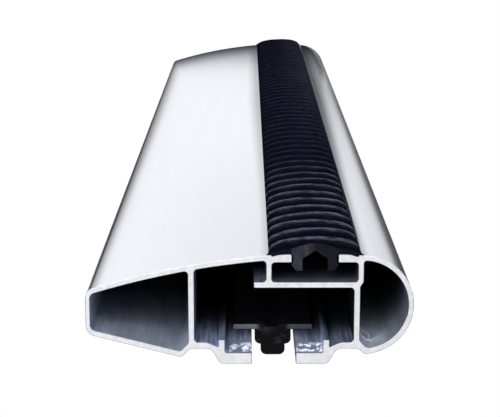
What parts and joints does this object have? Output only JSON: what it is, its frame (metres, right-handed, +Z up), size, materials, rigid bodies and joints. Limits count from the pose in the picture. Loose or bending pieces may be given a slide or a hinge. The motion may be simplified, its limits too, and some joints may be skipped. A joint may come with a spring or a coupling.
{
  "type": "roof rack crossbar",
  "caption": "Wing-shaped hollow crossbar with a load track on top under a ribbed strip, and a foot slot below with a filler strip.",
  "frame": {"origin": "middle of the bar's length, centred on the foot slot, in the plane of the lips' undersides that the feet clamp against", "axes": "+X across the bar towards the round nose, +Y along the bar, +Z up"},
  "size_m": [0.0799, 0.45, 0.0349],
  "materials": {
    "anodised_aluminium": "satin silver anodised, with a brighter sawn end",
    "ribbed_rubber": "satin black, moulded ribs",
    "strip_rubber": "smooth satin black"
  },
  "bodies": {
    "root": {"bar_extrusion": "anodised_aluminium", "cover_strip": "ribbed_rubber", "foot_slot_strip": "strip_rubber"}
  },
  "joints": []
}
